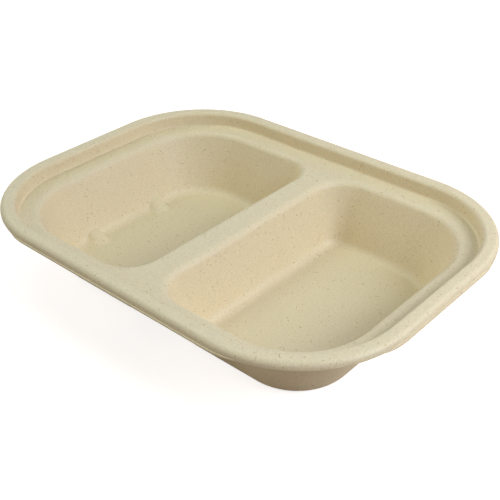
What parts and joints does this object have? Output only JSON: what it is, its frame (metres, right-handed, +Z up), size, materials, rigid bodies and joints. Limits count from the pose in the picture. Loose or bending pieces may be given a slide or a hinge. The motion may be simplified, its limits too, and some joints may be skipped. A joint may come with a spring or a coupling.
{
  "type": "fiber compartment container",
  "caption": "Rectangular moulded fibre meal tray with rounded corners, a rolled rim, a lid ledge, a central divider and drafted compartments with stacking lugs.",
  "frame": {"origin": "centre of the tray on the plane that its floors stand on", "axes": "+X along the length, across the divider, +Y along the divider, +Z up out of the open compartments"},
  "size_m": [0.235, 0.175, 0.0424],
  "materials": {
    "fibre": "matte pressed plant fibre, unbleached, with small dark specks"
  },
  "bodies": {
    "root": {"tray": "fibre"}
  },
  "joints": []
}
